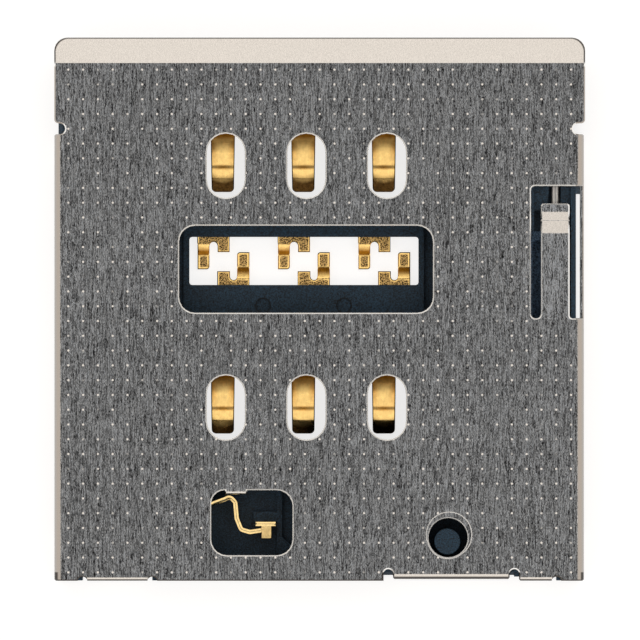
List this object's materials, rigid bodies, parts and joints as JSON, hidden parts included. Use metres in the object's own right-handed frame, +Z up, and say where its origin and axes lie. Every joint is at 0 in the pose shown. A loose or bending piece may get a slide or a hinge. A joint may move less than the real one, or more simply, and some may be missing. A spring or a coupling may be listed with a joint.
{
  "type": "sim card socket",
  "caption": "Push-push board socket for a 12 x 15 mm SIM card: folded steel shell over a moulded housing, sprung contacts, card switch, slider and cam pin.",
  "frame": {"origin": "on the board face, under the middle of the socket's outline", "axes": "+Z up from the board to the shell's top plate, +Y out of the card mouth, +X to the side of the slider"},
  "size_m": [0.0168, 0.0172, 0.0017],
  "materials": {
    "shell_steel": "finely brushed stainless sheet",
    "housing_plastic": "fine matt moulded plastic",
    "slider_plastic": "fine matt moulded plastic",
    "contact_gold": "gold plating on a copper alloy spring strip",
    "spring_wire": "drawn spring wire"
  },
  "bodies": {
    "socket": {"shell": "shell_steel", "housing": "housing_plastic", "contact_upper_1": "contact_gold", "contact_upper_2": "contact_gold", "contact_upper_3": "contact_gold", "contact_lower_1": "contact_gold", "contact_lower_2": "contact_gold", "contact_lower_3": "contact_gold", "switch_spring": "contact_gold", "switch_contact": "contact_gold", "coil_spring": "spring_wire"},
    "slider": {"slider": "slider_plastic"},
    "cam_pin": {"cam_pin": "spring_wire"}
  },
  "joints": [
    {"name": "card_push", "type": "slide", "parent": "socket", "child": "slider", "axis": [0, -1, 0], "range_m": [0, 0.0026], "stiffness_N_per_m": 120, "springref_m": -0.003, "deforming": ["coil_spring"]},
    {"name": "pin_swing", "type": "hinge", "parent": "socket", "child": "cam_pin", "pos_m": [0.00743, 0.00425, 0], "axis": [0, 0, -1], "range_deg": [0, 6.55]}
  ]
}
